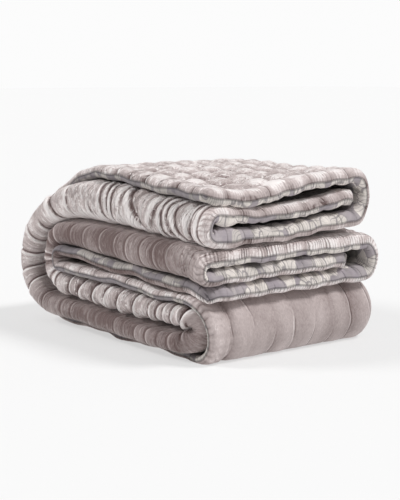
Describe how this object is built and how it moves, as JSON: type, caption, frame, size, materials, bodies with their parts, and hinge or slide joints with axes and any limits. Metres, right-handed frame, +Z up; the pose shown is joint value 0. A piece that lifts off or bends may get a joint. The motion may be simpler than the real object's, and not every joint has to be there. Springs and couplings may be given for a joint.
{
  "type": "folded velvet quilt",
  "caption": "Plump quilt with a velvet front and a printed cotton back, folded in three across its width and then twice along its length into a block.",
  "frame": {"origin": "centre of the bounding box's bottom face, on the surface that the quilt lies on", "axes": "+X along the folded block, towards the open ends of the strip; +Y towards the far fold; +Z up"},
  "size_m": [0.6332, 0.44, 0.3267],
  "materials": {
    "velvet": "short crushed pile, soft sheen",
    "printed_cotton": "matte plain weave with a pale leaf and petal print"
  },
  "bodies": {
    "root": {"velvet_front": "velvet", "printed_back": "printed_cotton"}
  },
  "joints": []
}
